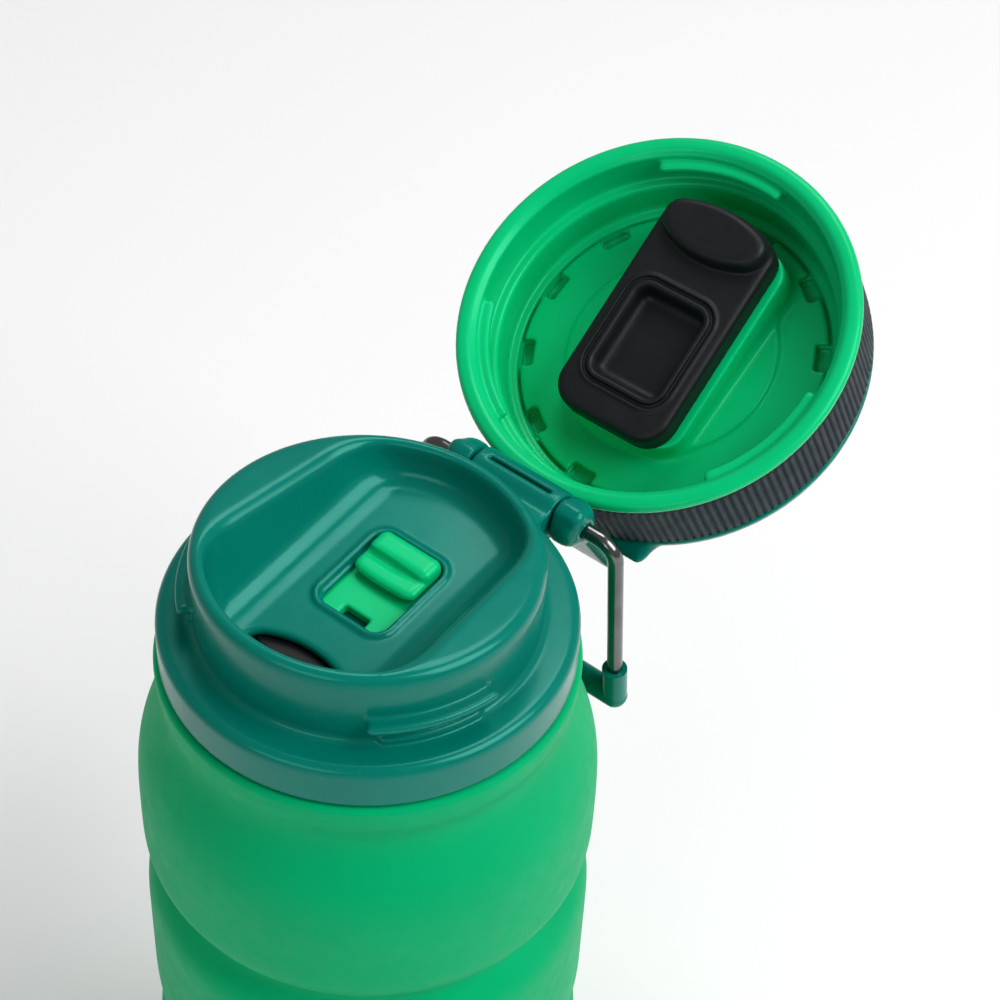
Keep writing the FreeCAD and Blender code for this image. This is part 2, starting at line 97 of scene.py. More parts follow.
# Cap
LIP_LOW, LIP_HEIGHT, LIP_OUT_R, LIP_IN_R = 8.8, 2.4, 36.8, 33.6
LINER_R, BORE_R, LEDGE_R, LEDGE_Z = 34.9, 33.0, 31.0, 17.0
STEP_R, STEP_Z, LINER_FLOOR_Z, LINER_TOP_Z, EYE_R = 29.2, 24.6, 25.9, 27.4, 19.0
BAND_OUT_R, BAND_LOW, BAND_HIGH, BAND_EDGE = 36.5, 11.3, 25.7, 0.9
RIBS, RIB_DEPTH, POINTS_PER_RIB = 154, 0.55, 10
COVER_R, COVER_LOW, COVER_TOP = 36.4, 26.0, 30.0
CORE_R, CORE_FACE, CORE_GAP, DOME_R, DOME_STEP = 28.6, 24.3, 0.2, 19.7, 0.7
NOTCHES, NOTCH_STEP, NOTCH_FIRST = 9, math.radians(30), math.radians(92.5)
NOTCH_HALF, NOTCH_DEPTH = 2.7, 2.3
CAP_LUG_MID, CAP_LUG_HALF = math.radians(-102), math.radians(22)
CAP_LUG_R, CAP_LUG_Z, CAP_LUG_THICK = 30.85, 10.6, 1.7
FACE_LIFT, BLOCK_THICK = 1.3, 5.0
BLOCK_HALF, BLOCK_FRONT, BLOCK_BACK, BLOCK_NOSE_R, PIER_HALF = 11.9, -24.0, 20.3, 25.2, 13.4
POCKET_HALF, POCKET_FRONT, POCKET_BACK, POCKET_DEPTH, PLUG_REACH = 7.1, -5.5, 12.4, 3.2, 1.5
ARM_IN_Y, ARM_OUT_Y, ARM_HALF, ARM_ROOT_HALF, ARM_BOW, EAR_IN = 38.45, 41.05, 14.5, 17.6, 5.5, 9.6

# Planes that only close a shape lie well outside it.
FAR, UNDER = 60.0, -20.0


# Distance fields: each takes points as three arrays and gives the distance to a surface, negative inside.
# The last number of union, meet, cut, slab and disc is how wide the round along the edge is.

def union(a, b, k=0.0):
    if k == 0.0:
        return np.minimum(a, b)
    h = np.maximum(k - np.abs(a - b), 0) / k
    return np.minimum(a, b) - h * h * k / 4


def meet(a, b, k=0.0):
    return -union(-a, -b, k)


def cut(a, b, k=0.0):
    return meet(a, -b, k)


def slab(u, v, u0, u1, v0, v1, r=0.0):
    """A rectangle with rounded corners in the plane of u and v."""
    qu = np.abs(u - (u0 + u1) / 2) - (u1 - u0) / 2 + r
    qv = np.abs(v - (v0 + v1) / 2) - (v1 - v0) / 2 + r
    return np.hypot(np.maximum(qu, 0), np.maximum(qv, 0)) + np.minimum(np.maximum(qu, qv), 0) - r


def disc(rho, z, radius, low, high, r=0.0):
    """A solid disc between two heights."""
    return slab(rho, z, -FAR, radius, low, high, r)


def around(x, y, count, mid, half):
    """How far a point lies outside the nearest of count equal sectors, measured along its circle."""
    step = 2 * math.pi / count
    turn = np.mod(np.arctan2(y, x) - mid + step / 2, step) - step / 2
    return (np.abs(turn) - half) * np.hypot(x, y)


def on_floor(y, z):
    """Distance along and above the lid's sloping floor."""
    c, s = math.cos(FLOOR_TILT), math.sin(FLOOR_TILT)
    return y * c + (z - FLOOR_Z) * s, (z - FLOOR_Z) * c - y * s


# From a field to a mesh

def grid_mesh(field, low, high, cell):
    """Surface nets: one vertex in each cell that the surface crosses, moved onto the surface, and one quad
    for each grid edge that it crosses."""
    axes = [np.arange(a - 1.5 * cell, b + 2.5 * cell, cell, dtype=np.float32) for a, b in zip(low, high)]
    x, y, z = np.meshgrid(*axes, indexing="ij", sparse=True)
    values = field(x, y, z).astype(np.float32) + np.float32(1e-6)
    inside = values < 0
    nx, ny, nz = inside.shape
    count = np.zeros((nx - 1, ny - 1, nz - 1), np.int8)
    for i in (0, 1):
        for j in (0, 1):
            for k in (0, 1):
                count += inside[i:nx - 1 + i, j:ny - 1 + j, k:nz - 1 + k]
    cells = np.argwhere((count > 0) & (count < 8))
    number = np.full(count.shape, -1, np.int64)
    number[tuple(cells.T)] = np.arange(len(cells))
    corners = [(i, j, k) for i in (0, 1) for j in (0, 1) for k in (0, 1)]
    at = {c: values[cells[:, 0] + c[0], cells[:, 1] + c[1], cells[:, 2] + c[2]] for c in corners}
    total = np.zeros((len(cells), 3))
    crossings = np.zeros(len(cells))
    for axis in range(3):
        for c in corners:
            if c[axis]:
                continue
            d = tuple(c[a] + (a == axis) for a in range(3))
            hit = (at[c] < 0) != (at[d] < 0)
            t = at[c][hit] / (at[c][hit] - at[d][hit])
            spot = np.tile(np.array(c, float), (hit.sum(), 1))
            spot[:, axis] += t
            total[hit] += spot
            crossings[hit] += 1
    points = np.array([a[0] for a in axes]) + (cells + total / crossings[:, None]) * cell
    points = settle(field, points, cell)
    faces = []
    for axis in range(3):
        u, v = (axis + 1) % 3, (axis + 2) % 3
        first = np.moveaxis(inside, (axis, u, v), (0, 1, 2))
        index = np.moveaxis(number, (axis, u, v), (0, 1, 2))
        cross = first[:-1, 1:-1, 1:-1] != first[1:, 1:-1, 1:-1]
        i, j, k = np.nonzero(cross)
        quad = np.stack([index[i, j, k], index[i, j + 1, k], index[i, j + 1, k + 1], index[i, j, k + 1]], 1)
        inward = first[:-1, 1:-1, 1:-1][i, j, k]
        quad[~inward] = quad[~inward][:, ::-1]
        faces.append(quad)
    return points, np.concatenate(faces)


def settle(field, points, cell):
    """Two Newton steps that bring the vertices onto the surface, each no longer than half a cell."""
    e = 0.02
    for _ in range(2):
        x, y, z = points.T
        here = field(x, y, z)
        slope = np.stack([field(x + e, y, z) - field(x - e, y, z), field(x, y + e, z) - field(x, y - e, z),
                          field(x, y, z + e) - field(x, y, z - e)], 1) / (2 * e)
        size = np.maximum((slope ** 2).sum(1), 0.25)
        step = slope * (here / size)[:, None]
        far = np.linalg.norm(step, axis=1)
        step *= np.minimum(1, 0.5 * cell / np.maximum(far, 1e-9))[:, None]
        points = points - step
    return points


def shade_smooth(data):
    data.polygons.foreach_set("use_smooth", np.ones(len(data.polygons), bool))


def mesh_object(name, points, faces):
    """An object from points in millimetres in the lid's frame."""
    data = bpy.data.meshes.new(name)
    points = (np.asarray(points) + (0, 0, SEAT)) * MM
    faces = np.asarray(faces)
    data.vertices.add(len(points))
    data.vertices.foreach_set("co", points.astype(np.float32).ravel())
    sides = faces.shape[1]
    data.loops.add(faces.size)
    data.loops.foreach_set("vertex_index", faces.astype(np.int32).ravel())
    data.polygons.add(len(faces))
    data.polygons.foreach_set("loop_start", np.arange(0, faces.size, sides, dtype=np.int32))
    shade_smooth(data)
    data.update(calc_edges=True)
    data.validate()
    obj = bpy.data.objects.new(name, data)
    bpy.context.scene.collection.objects.link(obj)
    return obj


def swung_open(points):
    """Points of the shut cap, turned about the hinge line to where the open cap is."""
    c, s = math.cos(-OPEN_ANGLE), math.sin(-OPEN_ANGLE)
    y, z = points[:, 1] - HINGE_Y, points[:, 2] - HINGE_Z
    return np.stack([points[:, 0], y * c - z * s + HINGE_Y, y * s + z * c + HINGE_Z], 1)


def moulded(name, field, low, high, cell, body, nodes, material, opened=False, faces_kept=None):
    """A piece from its field, between two corners. Opened pieces are part of the cap."""
    points, faces = grid_mesh(field, low, high, cell)
    if opened:
        points = swung_open(points)
    obj = mesh_object(name, points, faces)
    if faces_kept:
        thin(obj, faces_kept)
    finish_piece(obj, body, nodes, material)


def thin(obj, faces_kept):
    modifier = obj.modifiers.new("thin", "DECIMATE")
    modifier.ratio = min(1.0, faces_kept / (2 * len(obj.data.polygons)))
    evaluated = obj.evaluated_get(bpy.context.evaluated_depsgraph_get())
    obj.data = bpy.data.meshes.new_from_object(evaluated)
    obj.modifiers.clear()
    shade_smooth(obj.data)


def finish_piece(obj, body, nodes, material):
    obj.data.materials.clear()
    obj.data.materials.append(material)
    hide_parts(*nodes)
    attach(obj, body)


# Materials

class Graph:
    """A material's nodes, with short calls for the few kinds used here. Noise scales are per metre."""

    def __init__(self, name, **sockets):
        self.material = bpy.data.materials.new(name)
        self.material.use_nodes = True
        self.tree = self.material.node_tree
        self.shader = self.tree.nodes["Principled BSDF"]
        for key, value in sockets.items():
            self.shader.inputs[key.replace("_", " ")].default_value = value
        self.place = self.tree.nodes.new("ShaderNodeTexCoord").outputs["Object"]

    def noise(self, scale, detail=3.0, rough=0.5, stretch=(1, 1, 1)):
        mapping = self.tree.nodes.new("ShaderNodeMapping")
        mapping.inputs["Scale"].default_value = stretch
        self.tree.links.new(self.place, mapping.inputs["Vector"])
        node = self.tree.nodes.new("ShaderNodeTexNoise")
        node.inputs["Scale"].default_value = scale
        node.inputs["Detail"].default_value = detail
        node.inputs["Roughness"].default_value = rough
        self.tree.links.new(mapping.outputs["Vector"], node.inputs["Vector"])
        return node.outputs["Fac"]

    def spread(self, value, low, high, start=0.3, end=0.7):
        node = self.tree.nodes.new("ShaderNodeMapRange")
        node.inputs["From Min"].default_value = start
        node.inputs["From Max"].default_value = end
        node.inputs["To Min"].default_value = low
        node.inputs["To Max"].default_value = high
        self.tree.links.new(value, node.inputs["Value"])
        return node.outputs["Result"]

    def colour(self, value, first, second):
        node = self.tree.nodes.new("ShaderNodeMix")
        node.data_type = "RGBA"
        node.inputs["A"].default_value = (*first, 1)
        node.inputs["B"].default_value = (*second, 1)
        self.tree.links.new(value, node.inputs["Factor"])
        self.tree.links.new(node.outputs["Result"], self.shader.inputs["Base Color"])

    def rough(self, value):
        self.tree.links.new(value, self.shader.inputs["Roughness"])

    def bump(self, value, height, before=None):
        node = self.tree.nodes.new("ShaderNodeBump")
        node.inputs["Distance"].default_value = height
        self.tree.links.new(value, node.inputs["Height"])
        if before:
            self.tree.links.new(before, node.inputs["Normal"])
        self.tree.links.new(node.outputs["Normal"], self.shader.inputs["Normal"])
        return node.outputs["Normal"]


def moulded_plastic(name, first, second, rough_low, rough_high, tint, coat=0.0, shine=0.5):
    g = Graph(name, IOR=1.5, Specular_IOR_Level=shine, Coat_Weight=coat, Coat_Roughness=0.10,
              Specular_Tint=(*tint, 1))
    g.colour(g.spread(g.noise(45, 4), 0, 1), first, second)
    g.rough(g.spread(g.noise(160, 5, 0.6), rough_low, rough_high))
    broad = g.bump(g.noise(220, 2), 0.00002)
    g.bump(g.noise(2600, 2), 0.000008, broad)
    return g.material


def silicone(name, first, second, rough_low, rough_high, tint, scatter=0.0, grain=0.00003):
    g = Graph(name, IOR=1.42, Specular_IOR_Level=0.32, Subsurface_Weight=scatter, Subsurface_Scale=0.002,
              Specular_Tint=(*tint, 1))
    g.shader.inputs["Subsurface Radius"].default_value = (0.3, 1.0, 0.5)
    g.colour(g.spread(g.noise(30, 4), 0, 1), first, second)
    g.rough(g.spread(g.noise(300, 4, 0.6), rough_low, rough_high))
    broad = g.bump(g.noise(90, 3), 0.00005)
    g.bump(g.noise(3000, 3, 0.7), grain, broad)
    return g.material


# Polished steel with a dark base colour. The low tone is painted dark reflection: it stands in for the dark
# surroundings the bail wire mirrors, not the steel's own brightness.
def polished_steel_painted_dark(name):
    g = Graph(name, Metallic=1.0)
    g.colour(g.spread(g.noise(120, 4), 0, 1), (0.12, 0.125, 0.125), (0.19, 0.195, 0.195))
    g.rough(g.spread(g.noise(900, 4, 0.7, (0.15, 1, 1)), 0.10, 0.26))
    g.bump(g.noise(1600, 2, 0.5, (0.1, 1, 1)), 0.00001)
    return g.material


TEAL = moulded_plastic("teal_plastic", (0.0, 0.145, 0.108), (0.0, 0.165, 0.122), 0.18, 0.28,
                       (0.2, 1.0, 0.85), 0.08, 0.3)
GREEN = moulded_plastic("green_plastic", (0.0, 0.45, 0.150), (0.0, 0.50, 0.172), 0.28, 0.40,
                        (0.15, 1.0, 0.6), 0.06, 0.4)
BODY_GREEN = silicone("body_silicone", (0.0, 0.34, 0.120), (0.0, 0.38, 0.138), 0.50, 0.64,
                      (0.05, 1.0, 0.6), 0.02)
# Black silicone for the gasket and the valve seal. Its very dark tone is partly the gasket's own black and
# partly painted shade: the valve seal seen through the drink hole is made this dark to stand in for the
# shadow in the hole.
BLACK = silicone("black_silicone_and_painted_shade", (0.0035, 0.0045, 0.006), (0.006, 0.0075, 0.0095), 0.40, 0.54, (1, 1, 1))
RUBBER = silicone("grip_rubber", (0.014, 0.023, 0.028), (0.022, 0.034, 0.041), 0.52, 0.68,
                  (0.8, 0.9, 1.0), 0.0, 0.00005)
CLEAR = silicone("seal_silicone", (0.60, 0.64, 0.62), (0.70, 0.74, 0.72), 0.40, 0.55, (1, 1, 1), 0.2)
INNER = moulded_plastic("inner_plastic", (0.001, 0.30, 0.12), (0.002, 0.34, 0.14), 0.36, 0.50,
                        (0.3, 1.0, 0.6))
STEEL = polished_steel_painted_dark("polished_steel_painted_dark")


# Silicone body: a lathe in three lengths that share one outline

def skin_radius(z):
    """Outside radius of the silicone at a height above the base."""
    above = z - (SEAT - CREASE_DROP)
    if above >= 0:
        return BAND_R - (BAND_R - CREASE_R) * math.exp(-(above / BAND_HALF) ** 2)
    r = BULGE_R - (BULGE_R - CREASE_R) * math.exp(-(above / CREASE_HALF) ** 2)
    valley = SEAT - CREASE_DROP - FOLD_PITCH
    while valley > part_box("base_cup")[1].z / MM + VALLEY_HALF:
        r -= (BULGE_R - VALLEY_R) * math.exp(-((z - valley) / VALLEY_HALF) ** 2)
        valley -= FOLD_PITCH
    if z < FOOT_ROUND:
        r -= FOOT_ROUND * (1 - math.sqrt(1 - (1 - z / FOOT_ROUND) ** 2))
    return r


def rings(radii, levels, turn):
    """Points of a stack of rings. The radii are one for each ring, or one for each ring and direction."""
    levels = np.broadcast_to(np.asarray(levels)[:, None], (len(levels), len(turn)))
    return np.stack([radii * np.cos(turn), radii * np.sin(turn), levels], 2).reshape(-1, 3)


def ring_quads(rows, sides):
    """Quads that join each ring to the next one, and the last to the first."""
    i, j = np.meshgrid(np.arange(rows), np.arange(sides), indexing="ij")
    i2, j2 = (i + 1) % rows, (j + 1) % sides
    return np.stack([i * sides + j, i * sides + j2, i2 * sides + j2, i2 * sides + j], 2).reshape(-1, 4)


def lathe(name, outline, sides=256):
    """A solid of revolution. The outline is (radius, height above the base), and may start on the axis."""
    turn = np.linspace(0, 2 * math.pi, sides, endpoint=False)
    r = np.array([p[0] for p in outline])
    z = np.array([p[1] for p in outline]) - SEAT
    obj = mesh_object(name, rings(r[:, None], z, turn), ring_quads(len(outline), sides))
    weld(obj)
    return obj


def weld(obj):
    """Joins the points that meet on the axis, and keeps the edges between wall and end faces sharp."""
    mesh = bmesh.new()
    mesh.from_mesh(obj.data)
    bmesh.ops.remove_doubles(mesh, verts=mesh.verts, dist=1e-7)
    bmesh.ops.dissolve_degenerate(mesh, dist=1e-8, edges=mesh.edges)
    bmesh.ops.recalc_face_normals(mesh, faces=mesh.faces)
    mesh.to_mesh(obj.data)
    mesh.free()
    shade_smooth(obj.data)
    obj.data.set_sharp_from_angle(angle=math.radians(50))


def heights(low, high, step):
    return np.linspace(low, high, max(2, int(round((high - low) / step)) + 1))


def skin_points(levels, inset=0.0):
    return [(skin_radius(z) - inset, z) for z in levels]


def body_pieces():
    low, high = (c.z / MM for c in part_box("bellows"))
    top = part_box("neck_sleeve")[1].z / MM

    outer, inner = skin_points(heights(low, high, 0.8)), skin_points((high, low), SKIN)
    pleats = lathe("body_pleats", outer + inner)
    finish_piece(pleats, "base", ["bellows"], BODY_GREEN)
    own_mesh(pleats)

    outer = skin_points(heights(high, top - BAND_LIP, 0.5))
    outer += [(BAND_R - BAND_LIP + BAND_LIP * math.cos(a), top - BAND_LIP + BAND_LIP * math.sin(a))
              for a in heights(0.2, math.pi / 2, 0.25)]
    band = lathe("body_band", outer + [(NECK_R, top), (NECK_R, high)])
    finish_piece(band, "neck", ["neck_sleeve"], BODY_GREEN)

    foot = [FOOT_ROUND * (1 - math.cos(a)) for a in heights(0, math.pi / 2, 0.08)]
    outer = [(0.0, 0.0)] + skin_points(foot) + skin_points(heights(FOOT_ROUND + 0.5, low, 0.8))
    inner = skin_points((low, BASE_FLOOR), SKIN) + [(0.0, BASE_FLOOR)]
    cup = lathe("body_base", outer + inner)
    finish_piece(cup, "base", ["base_cup"], BODY_GREEN)


# Lid

def rim_height(y, z):
    return (z - RIM_Z) * math.cos(RIM_TILT) + y * math.sin(RIM_TILT)


def from_pin(y, z):
    """Distance from the hinge line."""
    return np.hypot(y - HINGE_Y, z - HINGE_Z)


def half_moon(x, v, shrink):
    """The outline shared by the drink hole and the plug that closes it."""
    back = np.hypot(x, v - MOON_BACK + MOON_BACK_R) - MOON_BACK_R
    lens = meet(np.hypot(x, v) - MOON_FRONT_R, back, 1.6)
    return meet(lens, np.abs(x) - MOON_HALF, 2.4) + shrink


def ring_lug(x, y, z, radius, low, thick, shorter, edge):
    """The lid's lugs or the beads under them, all round the raised ring."""
    section = slab(np.hypot(x, y), z, LUG_ROOT_R, radius, low, low + thick, edge)
    return meet(section, around(x, y, LUGS, LUG_MID, LUG_HALF - shorter), 1.0)


def hinge_block(x, y, z):
    barrel = np.maximum(from_pin(y, z) - KNUCKLE_R, np.abs(x) - KNUCKLE_HALF)
    shelf = np.maximum(slab(x, z, -KNUCKLE_HALF, KNUCKLE_HALF, BLOCK_LOW, BLOCK_TOP, 0.6),
                       slab(y, z, BLOCK_ROOT_Y, HINGE_Y, BLOCK_LOW, BLOCK_TOP))
    return meet(union(barrel, shelf, 0.8), np.abs(x) - KNUCKLE_HALF, 0.7)


def lid_field(x, y, z):
    rho = np.hypot(x, y)
    v, up = on_floor(y, z)
    flange = meet(disc(rho, z, FLANGE_R, UNDER, FLANGE_HEIGHT, 1.7), -z, 0.6)
    lean = (RING_TOP_R - RING_BASE_R) / (RIM_Z - FLANGE_HEIGHT)
    side = rho - RING_BASE_R - (z - FLANGE_HEIGHT) * lean
    ring = meet(meet(side, rim_height(y, z), 2.7), -z)
    body = union(union(flange, ring, 1.6), hinge_block(x, y, z), 1.6)
    walls = (np.abs(x) - RECESS_HALF - RECESS_SLOPE * up) / math.hypot(1, RECESS_SLOPE)
    recess = meet(meet(-up, walls, 3.6), rho - RECESS_R, 3.6)
    body = cut(body, recess, 1.8)
    under_floor = np.maximum(rho - CAVITY_R, up + FLOOR_THICK)
    body = cut(body, union(disc(rho, z, SKIRT_R, UNDER, SKIRT_DEPTH), under_floor, 0.4), 0.5)
    body = union(body, ring_lug(x, y, z, LUG_R, LUG_Z, LUG_THICK, 0.0, 0.6), 0.7)
    body = union(body, ring_lug(x, y, z, LUG_BEAD_R, LUG_BEAD_Z, LUG_BEAD_THICK, LUG_BEAD_SHORTER, 0.4), 1.0)
    return lid_openings(body, x, y, z, v, up)


def lid_openings(body, x, y, z, v, up):
    """Slot, with a bead around it and the slider's ledge in it, drink hole, and the hinge's bore and slit."""
    slot = slab(x, v, -SLOT_HALF, SLOT_HALF, SLOT_FRONT, SLOT_BACK, SLOT_ROUND)
    body = union(body, slab(slot, up, -0.2, SLOT_BEAD, -1.0, 0.5, 0.45), 0.5)
    body = cut(body, np.maximum(slot, slab(x, v, -FAR, FAR, -16, 20)), 0.3)
    ledge = np.maximum(slot, slab(slot, up, -0.6, 0.6, -FLOOR_THICK, -0.75, 0.2))
    body = union(body, ledge, 0.2)
    body = cut(body, half_moon(x, v, 0.0), 1.0)
    body = cut(body, from_pin(y, z) - WIRE_R - PIN_GAP)
    slit = slab(x, y, -SLIT_HALF, SLIT_HALF, HINGE_Y - SLIT_WIDTH / 2, HINGE_Y + SLIT_WIDTH / 2, 0.3)
    return cut(body, np.maximum(slit, HINGE_Z - z), 0.2)


def button_field(x, y, z):
    v, up = on_floor(y, z)
    front = slab(x, v, -TAB_HALF, TAB_HALF, TAB_FRONT, TAB_BACK, 2.2)
    bow = np.hypot(x * TAB_BOW, v - TAB_BACK) - (TAB_BACK - TAB_FRONT)
    front = meet(meet(front, bow, 1.0), up - TAB_LOW_TOP, 1.4)
    rear = slab(x, v, -TAB_HALF + 0.2, TAB_HALF, TAB_STEP_Y, TAB_BACK, 1.6)
    rear = meet(meet(rear, up - TAB_TOP, 1.8), bow)
    top = meet(union(front, rear, 0.3), TAB_UNDER - up, 0.3)
    groove = np.hypot(v - TAB_STEP_Y + 0.3, up - 1.0) - 0.75 + 0.10 * np.clip(x, 0, TAB_HALF)
    top = cut(top, groove, 0.5)
    stem = np.maximum(slab(x, v, -STEM_HALF, STEM_HALF, TAB_FRONT + 1.5, TAB_BACK - 1.5, 1.0),
                      slab(x, up, -FAR, FAR, PLATE_TOP, 0))
    return union(top, stem, 0.3)


def plate_field(x, y, z):
    v, up = on_floor(y, z)
    plan = slab(x, v, -PLATE_HALF, PLATE_HALF, PLATE_FRONT, PLATE_TAIL, 0.8)
    plan = np.maximum(plan, np.hypot(x, v - SLIDE) - PLATE_NOSE_R)
    plate = meet(plan, slab(x, up, -FAR, FAR, PLATE_LOW, PLATE_TOP), 0.4)
    seat = slab(v, up, -FAR, SEAT_BACK, PLATE_TOP - SEAT_DEPTH, FAR)
    vent = slab(x, v, -VENT_HALF, VENT_HALF, VENT_FRONT, VENT_BACK, 0.5)
    return cut(cut(plate, seat), vent, 0.5)


def lid_pieces():
    moulded("lid", lid_field, (-36, -36, 0), (36, HINGE_Y + 5, 24.5), 0.42,
            "lid", ["lid_shell"], TEAL, faces_kept=190000)
    moulded("slider_button", button_field, (-7, 2, 8.8), (7, 13, 15), 0.16,
            "slider", ["slider_tab"], GREEN)
    moulded("slider_slide", plate_field, (-9, -20, 3.5), (9, 15, 11.5), 0.25,
            "slider", ["slider_plate"], GREEN)


# Cap, drawn shut

def notches(x, y):
    """Upright slots around the edge of the notched disc."""
    rho = np.hypot(x, y)
    turn = np.mod(np.arctan2(y, x) - NOTCH_FIRST + NOTCH_STEP / 2, 2 * math.pi) - NOTCH_STEP / 2
    turn = turn - NOTCH_STEP * np.clip(np.round(turn / NOTCH_STEP), 0, NOTCHES - 1)
    return slab(turn * rho, rho, -NOTCH_HALF, NOTCH_HALF, CORE_R - NOTCH_DEPTH, CORE_R + 0.3, 0.8)


def liner_field(x, y, z):
    rho = np.hypot(x, y)
    cup = slab(rho, z, BORE_R, LINER_R, LIP_LOW + 1, LINER_TOP_Z, 0.3)
    cup = union(cup, slab(rho, z, LIP_IN_R, LIP_OUT_R, LIP_LOW, LIP_LOW + LIP_HEIGHT, 1.1), 1.0)
    cup = union(cup, slab(rho, z, LEDGE_R, LINER_R, LEDGE_Z, LINER_TOP_Z, 0.9), 1.0)
    cup = union(cup, slab(rho, z, STEP_R, LINER_R, STEP_Z, LINER_TOP_Z, 0.5), 1.2)
    cup = union(cup, slab(rho, z, EYE_R, LINER_R, LINER_FLOOR_Z, LINER_TOP_Z, 0.2), 0.4)
    cup = cut(cup, np.maximum(notches(x, y), np.abs(z - LINER_FLOOR_Z) - 1.2), 0.2)
    lug = slab(rho, z, CAP_LUG_R, BORE_R + 1.5, CAP_LUG_Z, CAP_LUG_Z + CAP_LUG_THICK, 0.7)
    return union(cup, meet(lug, around(x, y, LUGS, CAP_LUG_MID, CAP_LUG_HALF), 1.2), 0.6)


def core_field(x, y, z):
    """Notched disc, its low dome, and the block under the gasket."""
    rho = np.hypot(x, y)
    v, up = on_floor(y, z)
    plate = cut(disc(rho, z, CORE_R, CORE_FACE, LINER_FLOOR_Z - CORE_GAP, 0.5), notches(x, y), 0.4)
    dome = disc(rho, z, DOME_R, CORE_FACE - DOME_STEP, CORE_FACE + 1, 0.4)
    back_of_gasket = FACE_LIFT + BLOCK_THICK - up
    pier = slab(x, v, -PIER_HALF, PIER_HALF, BLOCK_FRONT + 1.6, BLOCK_BACK - 1.2, 5.0)
    pier = np.maximum(np.maximum(pier, rho - CORE_R + 3), np.maximum(back_of_gasket, z - CORE_FACE - 0.4))
    return union(union(plate, dome, 1.0), meet(pier, back_of_gasket, 0.8), 2.0)


def gasket_field(x, y, z):
    """Soft block with the half-moon plug at its front, and two fine ridges around the slider's pocket."""
    v, up = on_floor(y, z)
    plan = slab(x, v, -BLOCK_HALF, BLOCK_HALF, BLOCK_FRONT, BLOCK_BACK, 5.5)
    plan = meet(plan, np.hypot(x, y) - BLOCK_NOSE_R, 1.5)
    block = np.maximum(meet(plan, FACE_LIFT - up, 1.6), up - FACE_LIFT - BLOCK_THICK)
    plug = half_moon(x, v, 0.45) - 0.25 * np.clip(up + PLUG_REACH, 0, PLUG_REACH + FACE_LIFT)
    plug = np.maximum(meet(plug, -PLUG_REACH - up, 1.2), up - FACE_LIFT - 1)
    block = union(block, plug, 0.4)
    pocket = slab(x, v, -POCKET_HALF, POCKET_HALF, POCKET_FRONT, POCKET_BACK, 2.2)
    above = up - FACE_LIFT
    block = union(block, np.hypot(pocket - 2.3, above - 0.1) - 0.5, 0.5)
    block = union(block, np.hypot(pocket - 0.9, above - 0.2) - 0.75, 0.6)
    block = cut(block, np.hypot(pocket - 1.75, above + 0.15) - 0.4, 0.3)
    hollow = pocket + 0.12 * np.clip(above, 0, POCKET_DEPTH)
    return cut(block, meet(hollow, above - POCKET_DEPTH, 1.8), 0.7)


def arm_field(x, y, z):
    """The arm at the back of the cover: an upright plate that widens and bows over into the disc."""
    knuckle_top = HINGE_Z + KNUCKLE_R
    reach = np.clip((z - knuckle_top) / (COVER_LOW - knuckle_top), 0, 1)
    top = COVER_TOP - 0.6
    side = slab(y, z, ARM_IN_Y, ARM_OUT_Y, HINGE_Z - KNUCKLE_R, top, 0.8)
    shelf = np.maximum(slab(y, z, 25, ARM_OUT_Y, COVER_LOW + 0.5, top, 0.8), COVER_R - 1 - np.hypot(x, y))
    bow = (y + z - ARM_OUT_Y - top + ARM_BOW) / math.sqrt(2)
    plate = meet(union(side, shelf, 2.0), bow, 4.0)
    return meet(plate, np.abs(x) - ARM_HALF - (ARM_ROOT_HALF - ARM_HALF) * reach, 1.8)


def cover_field(x, y, z):
    rho = np.hypot(x, y)
    shell = meet(disc(rho, z, COVER_R, COVER_LOW, COVER_TOP + 9, 0.3), z - COVER_TOP, 4.2)
    shell = cut(shell, disc(rho, z, LINER_R + 0.4, 0, LINER_TOP_Z + CORE_GAP))
    boss = disc(rho, z, EYE_R - 0.4, LINER_FLOOR_Z - CORE_GAP, COVER_TOP - 1)
    ear = meet(from_pin(y, z) - KNUCKLE_R, np.abs(x) - ARM_HALF, 3.2)
    ear = meet(ear, EAR_IN - np.abs(x), 0.9)
    shape = union(union(shell, boss), union(arm_field(x, y, z), ear, 1.5), 1.2)
    room = np.maximum(from_pin(y, z) - KNUCKLE_R - 0.5, np.abs(x) - EAR_IN)
    foot = np.maximum(np.abs(x) - EAR_IN, z - HINGE_Z - KNUCKLE_R - 0.5)
    shape = cut(shape, np.minimum(room, foot), 0.3)
    return cut(shape, from_pin(y, z) - WIRE_R - PIN_GAP)


def grip_band():
    """Ribbed rubber band: straight ribs with rounded tops, and rounded edges at both ends."""
    sides = RIBS * POINTS_PER_RIB
    middle = BAND_OUT_R - BAND_EDGE
    rows = [(LINER_R, BAND_LOW + 0.1, 0.0)]
    rows += [(middle + BAND_EDGE * math.sin(a), BAND_LOW + BAND_EDGE - BAND_EDGE * math.cos(a), math.sin(a))
             for a in heights(0.1, math.pi / 2, 0.25)]
    rows += [(BAND_OUT_R, z, 1.0)
             for z in heights(BAND_LOW + BAND_EDGE + 0.5, BAND_HIGH - BAND_EDGE - 0.5, 2.5)]
    rows += [(middle + BAND_EDGE * math.cos(a), BAND_HIGH - BAND_EDGE + BAND_EDGE * math.sin(a), math.cos(a))
             for a in heights(0, math.pi / 2, 0.25)]
    rows += [(LINER_R, BAND_HIGH, 0.0)]
    radius, level, share = np.array(rows).T
    turn = np.linspace(0, 2 * math.pi, sides, endpoint=False)
    wave = 0.5 - 0.5 * np.cos(turn * RIBS)
    dip = RIB_DEPTH * (1 - np.clip(wave * 1.8, 0, 1) ** 0.8)
    points = rings(radius[:, None] - dip * share[:, None], level, turn)
    obj = mesh_object("grip", swung_open(points), ring_quads(len(rows), sides))
    finish_piece(obj, "cap_ring", ["grip_band"], RUBBER)


